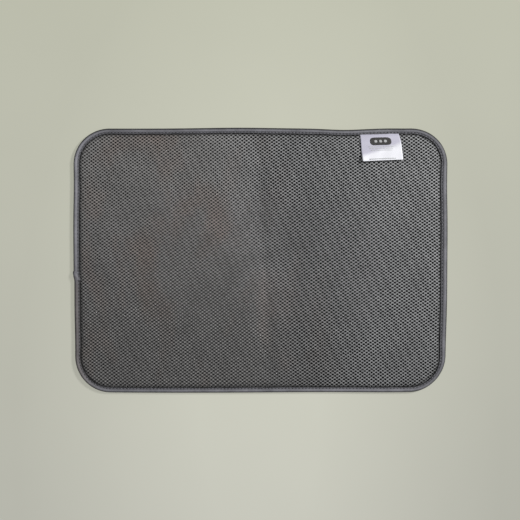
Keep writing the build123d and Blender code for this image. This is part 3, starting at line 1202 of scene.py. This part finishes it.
label_low, label_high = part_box("label_flap")
LABEL_MIDDLE = (label_low[0] + label_high[0]) / 2
LABEL_WIDTH = label_high[0] - label_low[0]
LABEL_LENGTH = label_high[1] - label_low[1]
label_hinge = next(j for j in frame["joints"] if j["name"] == "label_flip")["pos_m"]
LABEL_TUCK = 3.2 * MM  # length out of sight under the binding's lip
LABEL_SKEW = 4.6 * MM  # how far its free end lies to the right of its sewn end
LABEL_TILT = 2.4 * MM  # how far the free end's right corner lies nearer to the binding
LABEL_RAISE = 3.9 * MM


def label_surface(u, v, offset=0.0):
    """Point of the label: u from -1 to 1 across, v from 0 at the bend to 1 at the free end."""
    run = np.clip(v, 0, 1)
    bow = 1 + 0.03 * run + 0.012 * np.sin(np.pi * run)
    x = LABEL_MIDDLE + u * LABEL_WIDTH / 2 * bow + LABEL_SKEW * (run - 0.45)
    x = x + (u > 0) * u * 1.1 * MM * np.sin(np.pi * run) - 0.6 * MM
    y = label_hinge[1] - v * (LABEL_LENGTH + 0.3 * MM) + LABEL_TILT * run**2 * (u + 1) / 2
    dx, dy = wander(x, y)
    under = PRESSED_TOP + 0.35 * MM
    mesh = np.maximum(top_height(x, np.minimum(y, HALF_WIDTH - BINDING_WIDTH)), under)
    hump = 1.1 * MM * bump(run, 0.30, 0.17)
    curl = LABEL_RAISE * ease((run - 0.5) / 0.5) ** 1.3 * (1 - 0.1 * u)
    curl = curl + 1.0 * MM * np.clip(-u, 0, 1) ** 2 * run
    ripple = 0.16 * MM * np.sin(9 * u + 5 * run) * run
    z = mesh + 0.32 * MM + hump + curl + ripple
    tucked = ease((v + 0.12) / 0.12)
    z = under + (z - under) * tucked
    return x + dx, y + dy, z + offset


def label_patch(name, u_range, v_range, thickness, offset, corner=0.0, columns=24, rows=12):
    """Thin closed patch that follows the label, with corners rounded by `corner` in metres."""
    u = np.linspace(*u_range, columns)
    v = np.linspace(*v_range, rows)
    grid_v, grid_u = np.meshgrid(v, u, indexing="ij")
    if corner > 0:
        half_u, half_v = (u_range[1] - u_range[0]) / 2, (v_range[1] - v_range[0]) / 2
        mid_u, mid_v = sum(u_range) / 2, sum(v_range) / 2
        corner_u, corner_v = corner / (LABEL_WIDTH / 2), corner / LABEL_LENGTH
        past = np.clip((np.abs(grid_v - mid_v) - (half_v - corner_v)) / corner_v, 0, 1)
        reach = half_u - corner_u * (1 - np.sqrt(1 - past**2))
        grid_u = mid_u + (grid_u - mid_u) * reach / half_u
    sheets = []
    for level in (offset, offset + thickness):
        x, y, z = label_surface(grid_u, grid_v, level)
        sheets.append(np.stack([x.ravel(), y.ravel(), z.ravel()], axis=1))
    quads, walls = grid_faces(np.arange(grid_u.size).reshape(rows, columns), grid_u.size)
    faces = np.concatenate([quads, quads[:, ::-1] + grid_u.size, walls[:, ::-1]])
    return new_object(name, np.concatenate(sheets), faces)


def joined(name, parts):
    """One object from several, in their order."""
    work = bmesh.new()
    for part in parts:
        work.from_mesh(part.data)
    mesh = bpy.data.meshes.new(name)
    work.to_mesh(mesh)
    work.free()
    for part in parts:
        remove(part)
    mesh.shade_smooth()
    return linked(name, mesh)


def v_of(y):
    return (label_hinge[1] - y) / LABEL_LENGTH


def u_of(x):
    return (x - LABEL_MIDDLE) / (LABEL_WIDTH / 2)


def make_label(satin, badge_finish, badge_mark, ink):
    ply = 0.25 * MM
    tuck = LABEL_TUCK / LABEL_LENGTH
    ribbon = label_patch("label_ribbon", (-1, 1), (-tuck, 1), ply, 0.0, columns=40, rows=48)
    finished(ribbon, satin)

    low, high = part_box("label_badge")
    u_range = u_of(low[0] - 0.8 * MM), u_of(high[0] + 0.8 * MM)
    v_range = v_of(high[1] + 0.9 * MM), v_of(low[1] - 1.1 * MM)
    badge = label_patch("badge", u_range, v_range, 0.12 * MM, ply, corner=5.6 * MM, rows=20)
    finished(badge, badge_finish)
    mid_v, half_v = sum(v_range) / 2, (v_range[1] - v_range[0]) / 2
    dot_v = (mid_v - 0.36 * half_v, mid_v + 0.36 * half_v)
    marks = []
    for k in (-1, 0, 1):
        mid_u = sum(u_range) / 2 + k * 0.24
        dot_u = (mid_u - 0.07, mid_u + 0.07)
        mark = label_patch("mark", dot_u, dot_v, 0.1 * MM, ply + 0.1 * MM, 1.5 * MM, columns=8, rows=8)
        marks.append(mark)
    dots = finished(joined("badge_dots", marks), badge_mark)

    low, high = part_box("label_print")
    bars = []
    foot = v_of(low[1])
    lines = [(v_of(high[1]) + k * 3.1 * MM / LABEL_LENGTH, 1.0 * MM, 0.63 - 0.05 * k) for k in range(3)]
    lines.append((foot - 1.8 * MM / LABEL_LENGTH, 1.8 * MM, 0.66))
    for v, width, reach in lines:
        bar_v = (v, v + width / LABEL_LENGTH)
        bars.append(label_patch("bar", (-reach, reach), bar_v, 0.08 * MM, ply, columns=18, rows=3))
    return ribbon, badge, dots, finished(joined("printed_bars", bars), ink)


# ---------------------------------------------------------------------------------------------
# Making the mat

net_yarn = make_net_yarn()
lattice_tree, lattice_carrier, net_pieces = make_net(net_yarn)
yarn_pieces = make_yarns(lattice_tree, lattice_carrier, make_spacer_filament())
remove(lattice_carrier)

base_knit = slab("base_knit", FOAM_TOP, BASE_TOP, make_base_knit())
padding = slab("padding", UNDERSIDE_TOP, FOAM_TOP - LAYER_GAP, make_foam())
underside = slab("underside", 0.0, UNDERSIDE_TOP - LAYER_GAP, make_microfibre())

tape = make_binding_tape()
binding = make_binding(tape)
lap = make_lap(tape)
seam_tree = make_seam_tree()
thread = make_thread("sewing_thread", (0.10, 0.10, 0.115, 1), (0.22, 0.22, 0.24, 1))
needle_seam = make_seam(seam_tree, "needle_seam", 6.35 * MM, False, thread)
bobbin_seam = make_seam(seam_tree, "bobbin_seam", 0.32 * MM, True, thread)
tacks = make_lap_tacks(thread)

ribbon, badge, dots, printed = make_label(
    satin=make_satin(),
    badge_finish=make_badge(),
    badge_mark=make_thread("badge_mark", grey(0.48), grey(0.62)),
    ink=make_ink("label_ink", 0.58),
)

# ---------------------------------------------------------------------------------------------
# Frame: the bodies that the lap, its tacks and the label's badge, dots and print move with, and the CAD
# parts that the pieces stand for, hidden


def across_fold(obj):
    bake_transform(obj)


seams = [*needle_seam, *bobbin_seam]
folding = [*net_pieces, *yarn_pieces, base_knit, padding, underside, binding, *seams]
for piece in [*folding, lap, tacks, ribbon, badge, dots, printed]:
    keep_place(piece)
for piece in folding:
    across_fold(piece)
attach(lap, "left_half")
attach(tacks, "left_half")

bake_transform(ribbon)
for piece in (badge, dots, printed):
    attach(piece, "label")

for side in ("left", "right"):
    upper, lower = (p for p in net_pieces if p.name.startswith(f"net_{side}"))
    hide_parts(f"mesh_face_{side}")
    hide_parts(f"spacer_yarns_{side}")
    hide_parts(f"needle_thread_{side}")
    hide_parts(f"bobbin_thread_{side}")
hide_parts("spacer_base_left", "spacer_base_right")
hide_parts("foam_core_left", "foam_core_right")
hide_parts("underside_cloth_left", "underside_cloth_right")
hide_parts("edge_binding_left", "edge_binding_right")
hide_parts("binding_lap")
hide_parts("lap_bartacks")
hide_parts("label_flap", "label_tail")
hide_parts("label_badge")
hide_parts("label_print")

# ---------------------------------------------------------------------------------------------
# Stage, light and camera

FLOOR_HALF, FLOOR_LEVEL = 3.0, -0.1 * MM
corners = ((-1, -1), (1, -1), (1, 1), (-1, 1))
floor_corners = [(x * FLOOR_HALF, y * FLOOR_HALF, FLOOR_LEVEL) for x, y in corners]
floor = finished(new_object("stage_floor", floor_corners, [(0, 1, 2, 3)], smooth=False), make_floor())
keep_place(floor)


def area_light(name, place, size, power):
    """Round lamp aimed at the middle of the mat."""
    data = bpy.data.lights.new(name, "AREA")
    data.shape, data.size, data.energy = "DISK", size, power
    light = linked(name, data)
    light.location = place
    light.rotation_euler = (Vector((0, 0, 0)) - Vector(place)).to_track_quat("-Z", "Y").to_euler()


area_light("key", place=(0.1, 0.1, 2.7), size=0.8, power=22)
area_light("side", place=(1.95, 1.0, 1.75), size=0.5, power=90)
world = bpy.data.worlds.new("studio")
world.use_nodes = True
background = world.node_tree.nodes["Background"].inputs
background["Color"].default_value = (0.95, 0.97, 1.0, 1)
background["Strength"].default_value = 0.25
bpy.context.scene.world = world

FIELD_OF_VIEW = 844.8 * MM  # width in view at the height of the mat's face
camera_data = bpy.data.cameras.new("camera")
camera_data.lens = 50
camera_data.sensor_width = 36
camera = linked("camera", camera_data)
camera.location = (0, 0, PANEL_TOP + FIELD_OF_VIEW * camera_data.lens / camera_data.sensor_width)
bpy.context.scene.camera = camera
bpy.context.scene.view_settings.view_transform = "Standard"
